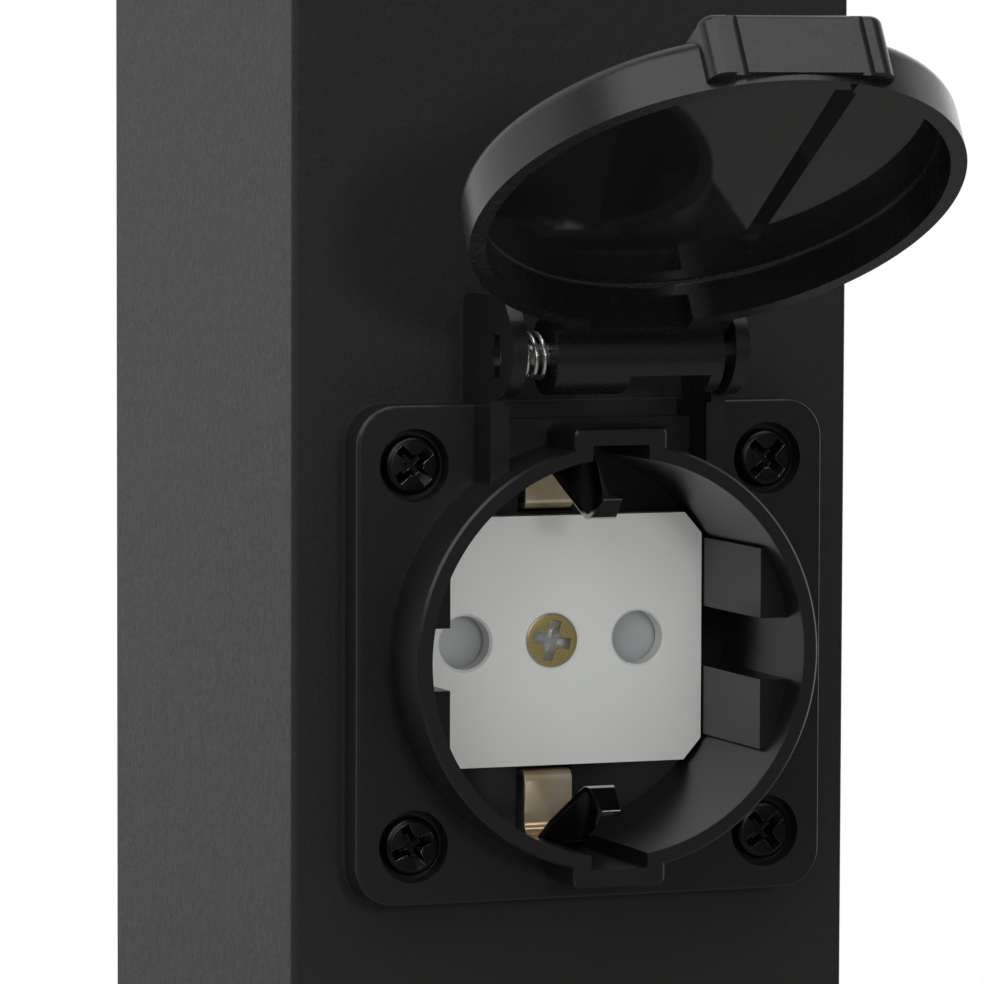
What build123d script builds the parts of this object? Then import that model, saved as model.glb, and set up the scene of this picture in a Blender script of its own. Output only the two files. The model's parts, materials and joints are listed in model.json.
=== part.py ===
from build123d import *
import math
import os

# Garden socket post: a square coated post on a foot plate, with one earthed panel socket under a sprung lid.
# All sizes are in millimetres. The origin is the centre of the foot plate's underside, +Z is up and the
# socket looks toward -Y. The socket's pieces are drawn about their own origin first: the socket's axis where
# it meets the front face of the flange, with depth into the post along +Y.

os.makedirs("parts", exist_ok=True)

# Post, foot and cap
post_height = 300.0
post_side = 60.0
post_wall = 2.0
post_corner_radius = 0.6
socket_height = 200.0
port_bore_radius = 1.75
port_wall = 1.35
port_mouth_width = 1.6
foot_side = 100.0
foot_thickness = 4.0
foot_corner_radius = 6.0
foot_bolt_spacing = 80.0
foot_bolt_radius = 3.5
cable_hole_radius = 11.0
cap_thickness = 3.0
cap_edge = 0.5
cap_lip_depth = 5.0
cap_lip_thickness = 1.6
cap_lip_gap = 0.3
cap_lip_length = 30.0
seal_thickness = 1.0
seal_inset = 0.5

# Clearances
fit_clearance = 0.05
loose_clearance = 0.3
overrun = 1.0

# Frame screws, countersunk, that pull the foot and the cap onto the post's screw ports
frame_screw_radius = 1.7
frame_screw_length = 16.0
frame_head_radius = 3.9
frame_head_height = 2.0

# Grommet where the supply cable rises through the foot
grommet_bore_radius = 5.5
grommet_flange_radius = 14.0
grommet_flange_thickness = 2.0
grommet_lift = 0.4

# Bracket and terminal block inside the foot of the post
bracket_side_gap = 1.85
bracket_thickness = 1.5
bracket_height = 72.0
bracket_foot_length = 10.4
bracket_back_gap = 3.0
bracket_screw_spread = 28.0
bracket_screw_radius = 1.45
bracket_screw_head_radius = 2.9
bracket_screw_head_height = 1.6
bracket_screw_length = 8.0
block_width = 36.0
block_depth = 14.0
block_height = 20.0
block_top_gap = 2.0
block_pole_spacing = 12.0
block_barrier_width = 1.6
block_barrier_step = 3.0
pole_sleeve_radius = 2.9
pole_sleeve_wall = 0.8
pole_sleeve_inset = 1.2
pole_depth_from_face = 7.5
clamp_screw_radius = 1.35
clamp_head_radius = 1.9
clamp_screw_spacing = 9.0
clamp_head_height = 1.2
block_screw_radius = 1.2
block_screw_head_radius = 1.75
block_screw_head_height = 1.2
earth_stud_lift = 26.0
earth_stud_radius = 2.0
earth_stud_length = 11.0
earth_nut_width = 7.0
earth_nut_thickness = 3.2
lug_thickness = 0.8
lug_ring_radius = 4.4
lug_barrel_radius = 2.1
lug_barrel_length = 6.0
lug_offset = 6.0

# Wires
wire_radius = 1.4
wire_end_gap = 0.3
wire_bend_share = 0.45
wire_route_shares = (0.74, 0.485, 0.262)
bond_route_shares = (0.305, 0.718)
wire_bend_offset = 14.0
wire_bend_depth = 6.0
earth_bend_offset = 2.0

# Socket flange and its seal
flange_margin = 3.6
flange_thickness = 3.6
flange_corner_radius = 4.0
flange_edge = 0.35
flange_seal_thickness = 1.6
flange_screw_inset = 6.0
flange_hole_radius = 2.1
counterbore_radius = 3.65
counterbore_depth = 1.9
flange_screw_radius = 1.9
flange_screw_length = 12.0
flange_head_radius = 2.95
flange_head_height = 1.8
flange_head_round = 0.7
wall_cut_clearance = 0.35

# Collar, well and floor
collar_height = 7.7
collar_radius = 21.4
collar_edge = 0.25
well_radius = 19.85
well_floor_depth = 13.2
well_floor_thickness = 2.0
key_half_width = 4.9
key_reach = 22.9
key_corner_radius = 0.8
key_slot_half_width = 3.0
key_slot_reach = 21.1
guide_flat = 16.65
guide_front_depth = -4.0
guide_inner_height = 3.1
guide_outer_height = 10.15
window_width = 31.0
window_height = 23.6
clip_slot_start = 13.1

# Hinge ears on the flange
hinge_depth = -5.8
hinge_rise = 30.0
ear_inner_half_width = 11.05
ear_thickness = 1.5
ear_disc_radius = 4.75
ear_disc_lift = 0.6
ear_top_rise = 36.0
ear_front_angle = 39.2
ear_back_radius = 1.5
rib_thickness = 2.0
rib_front_depth = -4.2
notch_rise = 23.4
ear_slot_width = 1.6
ear_slot_length = 4.2
pin_radius = 1.25

# Lid, drawn shut over the collar and then swung open
lid_radius = 24.0
lid_wall = 1.6
lid_open_edge_depth = -5.24
lid_inner_depth = 4.2
lid_face_thickness = 1.6
lid_edge_radius = 1.6
lid_inner_fillet = 0.4
lid_open_angle = 120.8
lid_pocket_half_width = 5.3
lid_pocket_reach = 23.4
lid_pocket_clearance = 0.4
grip_half_width = 9.2
grip_reach = 24.2
grip_back_reach = 19.0
grip_rise = 1.3
grip_lift = 0.7
grip_corner_radius = 1.5
grip_edge = 0.8
grip_groove_offset = 6.3
grip_groove_width = 1.1
grip_groove_depth = 0.5
groove_start_reach = 15.2
groove_end_reach = 15.2
groove_inner_start = 7.1
groove_outer_start = 9.5
groove_inner_end = 8.2
groove_outer_end = 9.95
groove_slope_share = 0.24
knuckle_left = -7.45
knuckle_right = 10.2
knuckle_radius = 3.9
knuckle_relief_left = 0.3
knuckle_relief_right = 8.95
knuckle_relief_drop = 2.0
arm_front_drop = 0.8
arm_back_rise = 0.6

# Spring on the hinge pin
spring_wire_radius = 0.25
spring_mean_radius = 2.2
spring_pitch = 0.93
spring_left = -10.6
spring_turns = 2.75
spring_leg_length = 3.4

# Contact cover, shutter and centre screw
cover_width = 33.0
cover_height = 25.6
cover_thickness = 2.2
cover_corner_width = 1.9
cover_corner_height = 2.2
cover_tab_reach = 18.6
cover_tab_height = 6.0
pin_spacing = 19.0
pin_hole_radius = 2.75
pin_hole_lead = 0.25
centre_screw_radius = 1.5
centre_head_radius = 2.9
centre_head_height = 1.5
shutter_gap = 0.3
shutter_half_length = 12.3
shutter_half_width = 3.3
shutter_hub_radius = 5.4
boss_radius = 2.7
shutter_wire_radius = 0.2
shutter_spring_pitch = 0.85
shutter_spring_turns = 2.0
shutter_spring_gap = 0.35

# Contact carrier behind the well
carrier_radius = 20.6
carrier_depth = 14.0
carrier_rim_height = 7.6
carrier_rim_wall = 1.6
chamber_half_width = 3.8
chamber_top = 4.6
chamber_bottom = 13.4
chamber_front_wall = 2.2
contact_entry_radius = 2.95
sleeve_inner_radius = 2.3
sleeve_wall = 0.6
sleeve_length = 9.0
sleeve_split_width = 0.8
terminal_width = 6.6
terminal_height = 6.0
terminal_depth = 6.5
terminal_centre = 9.6
terminal_screw_radius = 1.4
terminal_head_radius = 2.2
terminal_head_height = 1.6
wire_entry_radius = 1.6
rear_cover_thickness = 1.5
rear_cover_lip = 1.2

# Earth clip, one bent strip with a nose above and a nose below
clip_thickness = 0.6
clip_width = 5.2
clip_tip_width = 2.0
clip_leg_rise = 13.7
clip_shelf_depth = 12.2
clip_bow_rise = 20.2
clip_bow_depth = 8.4
clip_nose_depth = -2.3
clip_nose_rise = 13.5
clip_tip_depth = -5.3
clip_tip_rise = 15.8
clip_taper_depth = 5.0
clip_base_radius = 1.2
clip_shelf_radius = 0.8
clip_bow_radius = 1.4
clip_back_radius = 2.5
clip_nose_radius = 0.9
nut_width = 5.5
nut_thickness = 2.2
centre_screw_tail = 0.6
earth_clamp_drop = 8.4
earth_clamp_width = 8.4
earth_clamp_height = 6.0
earth_clamp_depth = 5.0
earth_clamp_offset = 1.2
earth_wire_offset = 3.3

# Worked out from the values above
flange_side = 2 * (collar_radius + flange_margin)
flange_screw_spacing = flange_side - 2 * flange_screw_inset
flange_standoff = flange_thickness + flange_seal_thickness
flange_front = post_side / 2 + flange_standoff
on_socket = Pos(0, -flange_front, socket_height)
tube_length = post_height - foot_thickness - cap_thickness - seal_thickness
inner_half = post_side / 2 - post_wall
port_radius = port_bore_radius + port_wall
port_offset = inner_half - port_radius + fit_clearance
well_back_depth = well_floor_depth + well_floor_thickness
cover_front_depth = well_floor_depth - cover_thickness
carrier_back_depth = well_back_depth + carrier_depth
carrier_rim_depth = carrier_back_depth + carrier_rim_height
ear_outer_half_width = ear_inner_half_width + ear_thickness
lid_floor_depth = lid_open_edge_depth - lid_inner_depth
lid_top_depth = lid_floor_depth - lid_face_thickness
hinge_axis = Axis((0, hinge_depth, hinge_rise), (1, 0, 0))


def facing(profile, front, back):
    """A profile drawn as seen from the front, made solid between two depths."""
    return extrude(Plane.XZ.offset(-back) * profile, back - front, dir=(0, -1, 0))


def sideways(profile, left, right):
    """A profile drawn in depth and height, made solid from left to right."""
    return extrude(Plane.YZ.offset(left) * profile, right - left, dir=(1, 0, 0))


def upright(profile, bottom, top):
    """A profile drawn in plan, made solid between two heights."""
    return extrude(Pos(0, 0, bottom) * profile, top - bottom, dir=(0, 0, 1))


def both_sides(x, z):
    """The four places at plus and minus x and z, as seen from the front."""
    return [(i * x, j * z) for i in (-1, 1) for j in (-1, 1)]


def countersunk_screw(radius, head_radius, head_height, length):
    """A countersunk screw pointing down, its flat head level with its origin."""
    head = Pos(0, 0, -head_height) * Cone(
        radius, head_radius, head_height, align=(Align.CENTER, Align.CENTER, Align.MIN)
    )
    return head + Cylinder(radius, length, align=(Align.CENTER, Align.CENTER, Align.MAX))


def countersink(radius, head_radius, head_height, depth):
    """The space that a countersunk screw needs, level with its origin."""
    wide = head_radius + fit_clearance
    narrow = radius + fit_clearance
    seat = Pos(0, 0, -head_height) * Cone(
        narrow, wide, head_height, align=(Align.CENTER, Align.CENTER, Align.MIN)
    )
    return seat + Cylinder(narrow, depth, align=(Align.CENTER, Align.CENTER, Align.MAX))


def pan_screw(radius, head_radius, head_height, head_round, length):
    """A pan-head screw pointing down, the underside of its head level with its origin."""
    head = Cylinder(head_radius, head_height, align=(Align.CENTER, Align.CENTER, Align.MIN))
    head = fillet(head.edges().group_by(Axis.Z)[-1], head_round)
    return head + Cylinder(radius, length, align=(Align.CENTER, Align.CENTER, Align.MAX))


def hexagon(width, thickness, bore):
    """A plain nut standing up from its origin, of the given width across its flats."""
    nut = extrude(RegularPolygon(width / 2, 6, major_radius=False), thickness)
    return nut - Cylinder(bore, thickness, align=(Align.CENTER, Align.CENTER, Align.MIN))


def biarc(start, start_way, end, end_way):
    """Two arcs that join two points smoothly, leaving and arriving along the given directions."""
    chord = end - start
    spread = 2 * (1 - start_way.dot(end_way))
    along = 2 * chord.dot(start_way + end_way)
    span = chord.dot(chord)
    reach = (math.sqrt(along * along + 4 * spread * span) - along) / (2 * spread)
    first = start + start_way * reach
    second = end - end_way * reach
    middle = (first + second) / 2
    return [TangentArc(start, middle, tangent=start_way), TangentArc(middle, end, tangent=second - first)]


def helix_point(radius, pitch, turn):
    """A point of a helix about the X axis and the direction the wire runs in there."""
    angle = 2 * math.pi * turn
    point = Vector(pitch * turn, radius * math.cos(angle), radius * math.sin(angle))
    way = Vector(pitch / (2 * math.pi), -radius * math.sin(angle), radius * math.cos(angle))
    return point, way.normalized()


def coil_spring(radius, wire, pitch, turns, leg):
    """A coil about the X axis, wound in quarter turns, with a straight leg at each end where one is asked for."""
    quarters = round(turns * 4)
    places = [helix_point(radius, pitch, i / 4) for i in range(quarters + 1)]
    edges = []
    first, first_way = places[0]
    last, last_way = places[-1]
    if leg:
        edges.append(Line(first - first_way * leg, first))
    for (start, start_way), (end, end_way) in zip(places, places[1:]):
        edges += biarc(start, start_way, end, end_way)
    if leg:
        edges.append(Line(last, last + last_way * leg))
    path = Wire([edge for curve in edges for edge in curve.edges()])
    section = Plane(origin=path @ 0, z_dir=path % 0) * Circle(wire)
    return sweep(section, path=path), path


def least_gap(path, wire, turn_length, samples):
    """The least gap between one turn of a coil and the next, measured on points along the wire."""
    points = [path @ (i / samples) for i in range(samples + 1)]
    step = path.length / samples
    apart = int(turn_length * 3 / 4 / step)
    nearest = min(
        (points[i] - points[j]).length
        for i in range(len(points))
        for j in range(i + apart, len(points))
    )
    return nearest - 2 * wire


# Post
outline = RectangleRounded(post_side, post_side, post_corner_radius)
tube = extrude(outline - Rectangle(2 * inner_half, 2 * inner_half), tube_length)
for x, y in both_sides(port_offset, port_offset):
    port = extrude(Pos(x, y) * Circle(port_radius), tube_length)
    tube += port & extrude(Rectangle(post_side - post_wall, post_side - post_wall), tube_length)
for x, y in both_sides(port_offset, port_offset):
    turn = math.degrees(math.atan2(-y, -x))
    mouth = Pos(x, y) * Rot(0, 0, turn) * Pos(port_radius / 2, 0) * Rectangle(port_radius, port_mouth_width)
    tube -= extrude(Pos(x, y) * Circle(port_bore_radius) + mouth, tube_length)
tube = Pos(0, 0, foot_thickness) * tube

wall_cut = Circle(collar_radius + wall_cut_clearance) + Rectangle(
    2 * (key_half_width + wall_cut_clearance), 2 * (key_reach + wall_cut_clearance)
)
tube -= on_socket * facing(wall_cut, flange_standoff - overrun, flange_standoff + post_wall + overrun)
screw_places = both_sides(flange_screw_spacing / 2, flange_screw_spacing / 2)
wall_holes = [Pos(x, z) * Circle(flange_screw_radius + fit_clearance) for x, z in screw_places]
tube -= on_socket * facing(Sketch() + wall_holes, flange_standoff - overrun, flange_standoff + post_wall + overrun)

# Foot plate, its screws and the grommet
foot = extrude(RectangleRounded(foot_side, foot_side, foot_corner_radius), foot_thickness)
foot -= Cylinder(cable_hole_radius, foot_thickness, align=(Align.CENTER, Align.CENTER, Align.MIN))
bolt_half = foot_bolt_spacing / 2
for x, y in both_sides(bolt_half, bolt_half):
    foot -= Pos(x, y) * Cylinder(foot_bolt_radius, foot_thickness, align=(Align.CENTER, Align.CENTER, Align.MIN))
foot_screws = []
for x, y in both_sides(port_offset, port_offset):
    turned = Pos(x, y, 0) * Rot(180, 0, 0)
    foot -= turned * countersink(frame_screw_radius, frame_head_radius, frame_head_height, foot_thickness + overrun)
    foot_screws.append(
        turned * countersunk_screw(frame_screw_radius, frame_head_radius, frame_head_height, frame_screw_length)
    )

grommet_neck = cable_hole_radius - fit_clearance
grommet_top = foot_thickness + grommet_flange_thickness
grommet = upright(Circle(grommet_neck), grommet_lift, grommet_top)
grommet += upright(Circle(grommet_flange_radius), foot_thickness, grommet_top)
grommet = fillet(grommet.edges().group_by(Axis.Z)[-1], grommet_flange_thickness / 2)
grommet -= upright(Circle(grommet_bore_radius), 0, grommet_top + overrun)

# Cap, its seal and its screws
seal_bottom = foot_thickness + tube_length
cap_bottom = seal_bottom + seal_thickness
seal_side = post_side - 2 * seal_inset
cap_seal = Rectangle(seal_side, seal_side) - Rectangle(2 * inner_half, 2 * inner_half)
cap_seal += [
    Pos(x, y) * Circle(port_radius) & Rectangle(seal_side, seal_side)
    for x, y in both_sides(port_offset, port_offset)
]
cap_seal = upright(cap_seal, seal_bottom, cap_bottom)
cap = upright(RectangleRounded(post_side, post_side, post_corner_radius), cap_bottom, post_height)
cap = chamfer(cap.edges().group_by(Axis.Z)[-1], cap_edge)
lip_offset = inner_half - cap_lip_gap - cap_lip_thickness / 2
lip_bottom = seal_bottom - cap_lip_depth
for turn in (0, 90, 180, 270):
    lip = Pos(0, lip_offset) * Rectangle(cap_lip_length, cap_lip_thickness)
    cap += Rot(0, 0, turn) * upright(lip, lip_bottom, cap_bottom)
cap_screws = []
for x, y in both_sides(port_offset, port_offset):
    at = Pos(x, y, post_height)
    space = countersink(frame_screw_radius, frame_head_radius, frame_head_height, cap_thickness + overrun)
    cap -= at * space
    cap_seal -= at * countersink(
        frame_screw_radius, frame_head_radius, frame_head_height, cap_thickness + 2 * seal_thickness
    )
    cap_screws.append(
        at * countersunk_screw(frame_screw_radius, frame_head_radius, frame_head_height, frame_screw_length)
    )

# Bracket that stands on the foot and holds the terminal block
bracket_width = 2 * (port_offset - port_radius - bracket_side_gap)
bracket_back = inner_half - bracket_back_gap
bracket_face = bracket_back - bracket_thickness
bracket_foot_front = bracket_back - bracket_foot_length
bracket_foot_top = foot_thickness + bracket_thickness
bracket_top = foot_thickness + bracket_height
block_bottom = bracket_top - block_top_gap - block_height
block_face = bracket_face - block_depth
block_centre = block_bottom + block_height / 2
pole_y = block_face + pole_depth_from_face
stud_height = foot_thickness + earth_stud_lift
bracket_half = bracket_width / 2
bracket = Pos(0, (bracket_face + bracket_back) / 2) * Rectangle(bracket_width, bracket_thickness)
bracket = upright(bracket, foot_thickness, bracket_top)
bracket_foot = Pos(0, bracket_back - bracket_foot_length / 2) * Rectangle(bracket_width, bracket_foot_length)
bracket += upright(bracket_foot, foot_thickness, bracket_foot_top)
bracket_screws = []
for x in (-bracket_screw_spread / 2, bracket_screw_spread / 2):
    at = Pos(x, (bracket_foot_front + bracket_face) / 2, 0) * Rot(180, 0, 0)
    space = countersink(
        bracket_screw_radius, bracket_screw_head_radius, bracket_screw_head_height, bracket_foot_top + overrun
    )
    foot -= at * space
    bracket -= at * space
    bracket_screws.append(
        at
        * countersunk_screw(
            bracket_screw_radius, bracket_screw_head_radius, bracket_screw_head_height, bracket_screw_length
        )
    )

# Terminal block: three poles between barriers, each a sleeve with two clamp screws
facing_front = Rot(90, 0, 0)
block = Pos(0, (block_face + bracket_face) / 2, block_centre) * Box(block_width, block_depth, block_height)
poles = [-block_pole_spacing, 0, block_pole_spacing]
for x in (-block_pole_spacing / 2, block_pole_spacing / 2):
    for side in (-1, 1):
        step = Pos(x, block_face, block_centre + side * block_height / 2)
        block -= step * Box(block_barrier_width, 2 * block_barrier_step, 2 * block_barrier_step)
sleeve_half = block_height / 2 - pole_sleeve_inset
pole_sleeves = []
clamp_screws = []
for x in poles:
    at = Pos(x, pole_y, block_centre)
    block -= at * Cylinder(pole_sleeve_radius + fit_clearance, block_height + overrun)
    sleeve = Cylinder(pole_sleeve_radius, 2 * sleeve_half)
    sleeve -= Cylinder(pole_sleeve_radius - pole_sleeve_wall, 2 * sleeve_half)
    for side in (-1, 1):
        screw_at = Pos(x, block_face, block_centre + side * clamp_screw_spacing / 2) * facing_front
        shank_end = pole_y - pole_sleeve_radius + pole_sleeve_wall - block_face
        shaft = Cylinder(clamp_head_radius, clamp_head_height, align=(Align.CENTER, Align.CENTER, Align.MAX))
        shaft += Cylinder(clamp_screw_radius, shank_end, align=(Align.CENTER, Align.CENTER, Align.MAX))
        well = Cylinder(
            clamp_head_radius + fit_clearance,
            clamp_head_height + fit_clearance,
            align=(Align.CENTER, Align.CENTER, Align.MAX),
        )
        well += Cylinder(
            clamp_screw_radius + fit_clearance, pole_depth_from_face, align=(Align.CENTER, Align.CENTER, Align.MAX)
        )
        block -= screw_at * well
        sleeve -= Pos(0, 0, -block_centre) * Pos(-x, -pole_y, 0) * screw_at * well
        clamp_screws.append(screw_at * shaft)
    pole_sleeves.append(at * sleeve)
block_screws = []
for x in (-block_pole_spacing / 2, block_pole_spacing / 2):
    at = Pos(x, block_face, block_centre) * facing_front
    length = block_depth + bracket_thickness
    hole = Cylinder(block_screw_radius + fit_clearance, length, align=(Align.CENTER, Align.CENTER, Align.MAX))
    seat = Cylinder(
        block_screw_head_radius + fit_clearance,
        block_screw_head_height,
        align=(Align.CENTER, Align.CENTER, Align.MAX),
    )
    block -= at * (hole + seat)
    bracket -= at * hole
    screw = Cylinder(block_screw_radius, length, align=(Align.CENTER, Align.CENTER, Align.MAX))
    screw += Cylinder(block_screw_head_radius, block_screw_head_height, align=(Align.CENTER, Align.CENTER, Align.MAX))
    block_screws.append(at * screw)

# Earth stud on the bracket, with the lug and the nut that bond the metal post
stud_at = Pos(0, bracket_face, stud_height) * facing_front
bracket -= Pos(0, bracket_back, stud_height) * facing_front * Cylinder(
    earth_stud_radius + fit_clearance, 2 * bracket_thickness, align=(Align.CENTER, Align.CENTER, Align.CENTER)
)
earth_stud = stud_at * Pos(0, 0, -bracket_thickness) * Cylinder(
    earth_stud_radius, earth_stud_length, align=(Align.CENTER, Align.CENTER, Align.MIN)
)
earth_stud += stud_at * Pos(0, 0, -bracket_thickness) * Cylinder(
    2 * earth_stud_radius, bracket_thickness, align=(Align.CENTER, Align.CENTER, Align.MAX)
)
lug_ring = Cylinder(lug_ring_radius, lug_thickness, align=(Align.CENTER, Align.CENTER, Align.MIN))
lug_tongue = Pos(0, lug_offset / 2, lug_thickness / 2) * Box(2 * lug_barrel_radius, lug_offset, lug_thickness)
lug_barrel = Pos(0, lug_offset, lug_barrel_radius) * Rot(-90, 0, 0) * Cylinder(
    lug_barrel_radius, lug_barrel_length, align=(Align.CENTER, Align.CENTER, Align.MIN)
)
lug = lug_ring + lug_tongue + lug_barrel
lug -= Cylinder(earth_stud_radius + fit_clearance, 3 * lug_thickness)
lug -= Pos(0, lug_offset + wire_end_gap, lug_barrel_radius) * Rot(-90, 0, 0) * Cylinder(
    wire_radius + fit_clearance, lug_barrel_length, align=(Align.CENTER, Align.CENTER, Align.MIN)
)
earth_lug = stud_at * lug
earth_nut = stud_at * Pos(0, 0, lug_thickness) * hexagon(
    earth_nut_width, earth_nut_thickness, earth_stud_radius + fit_clearance
)

# Socket housing: flange, collar, key boxes, well and guide blocks
housing = facing(RectangleRounded(flange_side, flange_side, flange_corner_radius), 0, flange_thickness)
housing = fillet(housing.edges().group_by(Axis.Y)[0], flange_edge)
key_box = RectangleRounded(2 * key_half_width, 2 * key_reach, key_corner_radius)
barrel = facing(Circle(collar_radius) + key_box, -collar_height, well_back_depth)
barrel = chamfer(barrel.edges().group_by(Axis.Y)[0], collar_edge)
housing += barrel

# Hinge ears: a disc each side of the lid's knuckle, joined to the flange by a plate that leans back above the
# disc, and below it a thicker rib that runs down the flange to the collar
ear_centre = hinge_rise + ear_disc_lift
ear_slant = math.radians(ear_front_angle)
slant_low_depth = hinge_depth - ear_disc_radius * math.cos(ear_slant)
slant_low_rise = ear_centre + ear_disc_radius * math.sin(ear_slant)
slant_high_depth = slant_low_depth + (ear_top_rise - slant_low_rise) * math.tan(ear_slant)
ear_plate = Polygon(
    (slant_low_depth, slant_low_rise),
    (hinge_depth, ear_centre),
    (rib_front_depth, ear_centre),
    (rib_front_depth, notch_rise),
    (flange_thickness, notch_rise),
    (flange_thickness, ear_top_rise),
    (slant_high_depth, ear_top_rise),
    align=None,
)
ear_plate = fillet(ear_plate.vertices().sort_by(Axis.Y)[-2:].sort_by(Axis.X)[-1:], ear_back_radius)
ear_disc = Pos(hinge_depth, ear_centre) * Circle(ear_disc_radius)
rib_top = flange_side / 2
rib_bottom = collar_radius / 2
rib_plate = Pos((rib_front_depth + flange_thickness) / 2, (rib_top + rib_bottom) / 2) * Rectangle(
    flange_thickness - rib_front_depth, rib_top - rib_bottom
)
rib_inner = ear_outer_half_width - rib_thickness
ear = sideways(ear_disc + ear_plate, ear_inner_half_width, ear_outer_half_width)
rib = sideways(rib_plate, rib_inner, ear_outer_half_width)
housing += ear + rib + mirror(ear, Plane.YZ) + mirror(rib, Plane.YZ)
notch_top = flange_side / 2 + overrun
notch = Pos(0, (notch_rise + notch_top) / 2) * Rectangle(2 * rib_inner, notch_top - notch_rise)
housing -= facing(notch, -overrun, flange_thickness + overrun)

# The plug's recess, left open where the guide blocks and the earth clips stand
recess = facing(Circle(well_radius), -collar_height - overrun, well_floor_depth)
for side in (-1, 1):
    for up in (-1, 1):
        guide_height = (guide_outer_height + guide_inner_height) / 2
        guide = Pos(side * (guide_flat + collar_radius) / 2, up * guide_height) * Rectangle(
            collar_radius - guide_flat, guide_outer_height - guide_inner_height
        )
        recess -= facing(guide, guide_front_depth, well_floor_depth + overrun)
key_slot = Rectangle(2 * key_slot_half_width, 2 * key_slot_reach)
recess += facing(key_slot, -collar_height - overrun, well_floor_depth)
housing -= recess
window = Rectangle(window_width, window_height)
for up in (-1, 1):
    slot_middle = (clip_slot_start + key_slot_reach) / 2
    window += Pos(0, up * slot_middle) * Rectangle(2 * key_slot_half_width, key_slot_reach - clip_slot_start)
housing -= facing(window, well_floor_depth - overrun, well_back_depth + overrun)

# Screw seats in the flange, the pin's bore and the slot for the spring's end in the ears
for x, z in screw_places:
    housing -= facing(Pos(x, z) * Circle(counterbore_radius), -overrun, counterbore_depth)
    housing -= facing(Pos(x, z) * Circle(flange_hole_radius), -overrun, flange_thickness + overrun)
pin_bore = Pos(hinge_depth, hinge_rise) * Circle(pin_radius + fit_clearance)
ear_wall = ear_thickness / 2
housing -= sideways(pin_bore, -ear_outer_half_width - overrun, ear_inner_half_width + ear_wall)
ear_slot = Pos(hinge_depth, hinge_rise) * Rectangle(ear_slot_width, ear_slot_length)
housing -= sideways(ear_slot, -ear_outer_half_width - overrun, -ear_outer_half_width + ear_wall)

# Seal under the flange, with a tongue behind each ear, and the four screws
tongue_top = ear_top_rise - ear_back_radius
tongue = Rectangle(ear_thickness, tongue_top - collar_radius)
tongue_x = ear_inner_half_width + ear_thickness / 2
flange_seal = RectangleRounded(flange_side, flange_side, flange_corner_radius)
flange_seal += [Pos(side * tongue_x, (tongue_top + collar_radius) / 2) * tongue for side in (-1, 1)]
flange_seal -= wall_cut
flange_seal -= [Pos(x, z) * Circle(flange_hole_radius) for x, z in screw_places]
flange_seal = facing(flange_seal, flange_thickness, flange_standoff)
flange_screws = [
    Pos(x, counterbore_depth, z)
    * facing_front
    * pan_screw(flange_screw_radius, flange_head_radius, flange_head_height, flange_head_round, flange_screw_length)
    for x, z in screw_places
]

# Hinge pin
pin_left = -ear_outer_half_width + ear_wall + fit_clearance
hinge_pin = sideways(
    Pos(hinge_depth, hinge_rise) * Circle(pin_radius), pin_left, ear_inner_half_width + ear_wall - fit_clearance
)

# Lid, a shallow round cup with a thumb grip at its free end, drawn shut
lid = facing(Circle(lid_radius), lid_top_depth, lid_open_edge_depth)
lid = fillet(lid.edges().group_by(Axis.Y)[0], lid_edge_radius)
hollow_radius = lid_radius - lid_wall
hollow = facing(Circle(hollow_radius), lid_floor_depth, lid_open_edge_depth + overrun)
hollow = fillet(hollow.edges().group_by(Axis.Y)[0], lid_inner_fillet)
grip_top = lid_top_depth - grip_rise
grip_bottom = lid_open_edge_depth - grip_lift
grip = Pos(0, -(grip_reach + grip_back_reach) / 2) * Rectangle(2 * grip_half_width, grip_reach - grip_back_reach)
grip = fillet(grip.vertices().group_by(Axis.Y)[0], grip_corner_radius)
grip = facing(grip, grip_top, grip_bottom)
grip = fillet(grip.edges().group_by(Axis.Y)[0], grip_edge)
for side in (-1, 1):
    groove = Pos(side * grip_groove_offset, -grip_reach) * Rectangle(grip_groove_width, 2 * grip_groove_depth)
    grip -= facing(groove, grip_top - overrun, grip_bottom + overrun)

# Arm from the lid's rim to the knuckle on the pin
arm_front = lid_top_depth + arm_front_drop
arm_back = lid_open_edge_depth - arm_back_rise
arm_foot = hollow_radius - lid_wall
arm_outline = Polygon(
    (arm_front, arm_foot),
    (arm_front, lid_radius),
    (hinge_depth - knuckle_radius, hinge_rise),
    (hinge_depth, hinge_rise),
    (arm_back, lid_radius),
    (arm_back, arm_foot),
    align=None,
)
knuckle_disc = Pos(hinge_depth, hinge_rise) * Circle(knuckle_radius)
arm = sideways(arm_outline + knuckle_disc, knuckle_left, knuckle_right)
lid += grip + arm
lid -= hollow
pocket = Rectangle(2 * lid_pocket_half_width, 2 * lid_pocket_reach)
lid -= facing(pocket, -collar_height - lid_pocket_clearance, lid_open_edge_depth + overrun)

# Drain groove in the lid's floor, a shallow wedge that is deepest at its inner edge and narrows toward the hinge
groove_ends = []
for reach, inner, outer in (
    (-groove_start_reach, groove_inner_start, groove_outer_start),
    (groove_end_reach, groove_inner_end, groove_outer_end),
):
    deep = lid_floor_depth - groove_slope_share * (outer - inner)
    wedge = Polygon((inner, lid_floor_depth), (inner, deep), (outer, lid_floor_depth), align=None)
    groove_ends.append(Pos(0, 0, reach) * wedge)
lid -= loft(groove_ends)

lid = lid.rotate(hinge_axis, -lid_open_angle)

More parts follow.
